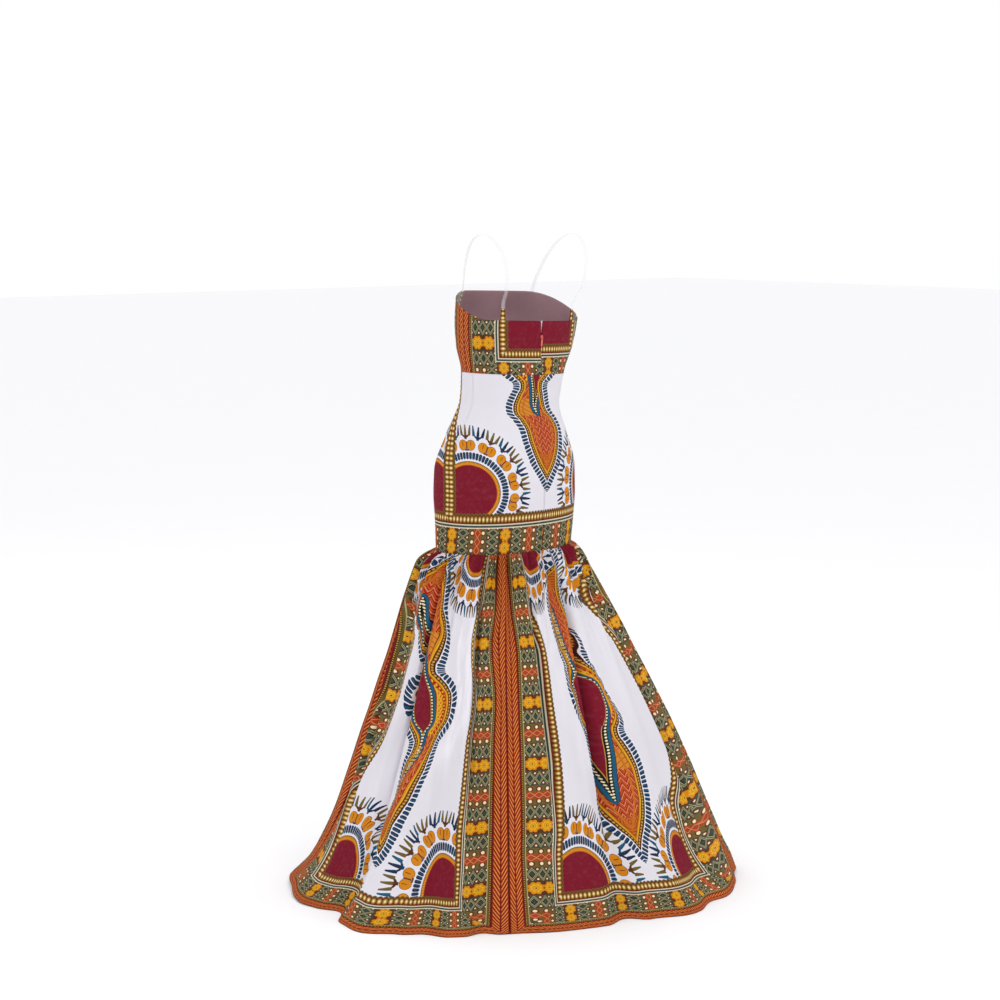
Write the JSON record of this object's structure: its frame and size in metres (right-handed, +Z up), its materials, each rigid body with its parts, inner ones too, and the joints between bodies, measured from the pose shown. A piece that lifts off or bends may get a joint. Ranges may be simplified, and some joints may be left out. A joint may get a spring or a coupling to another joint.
{
  "type": "maxi dress",
  "caption": "Fitted trumpet maxi dress in a bordered wax print, with a gathered flounce, a back zip and clear shoulder straps.",
  "frame": {"origin": "middle of the bodice's top opening, level with the top edge of the back, where the wearer holds the dress up", "axes": "+Z up, the front of the dress faces -Y and the wearer's left is +X"},
  "size_m": [0.985, 0.8927, 1.5053],
  "materials": {
    "print_cloth": "matt printed cotton, orange, gold, maroon and olive border print on white",
    "skirt_cloth": "matt printed cotton, white ground with maroon, orange and navy motifs",
    "tab_cloth": "matt printed cotton, gold chain print",
    "zip_tape": "matt white woven tape",
    "zip_coral": "satin coral enamel",
    "clear_strap": "clear glossy elastic film"
  },
  "bodies": {
    "dress": {"bodice_back_left": "print_cloth", "bodice_back_right": "print_cloth", "bodice_front": "print_cloth", "skirt_back_left": "skirt_cloth", "skirt_back_right": "skirt_cloth", "skirt_front": "skirt_cloth", "flounce_back": "print_cloth", "flounce_right": "print_cloth", "flounce_front": "print_cloth", "flounce_left": "print_cloth", "zip_tape_left": "zip_tape", "zip_tape_right": "zip_tape", "zip_slider": "zip_coral", "strap_tab_left": "tab_cloth", "strap_tab_right": "tab_cloth", "strap_left": "clear_strap", "strap_right": "clear_strap"},
    "pull": {"zip_pull": "zip_coral"}
  },
  "joints": [
    {"name": "pull_hinge", "type": "hinge", "parent": "dress", "child": "pull", "pos_m": [0.0013, 0.12438, -0.03835], "axis": [0.9934, -0.1148, 0], "range_deg": [0, 160]}
  ]
}
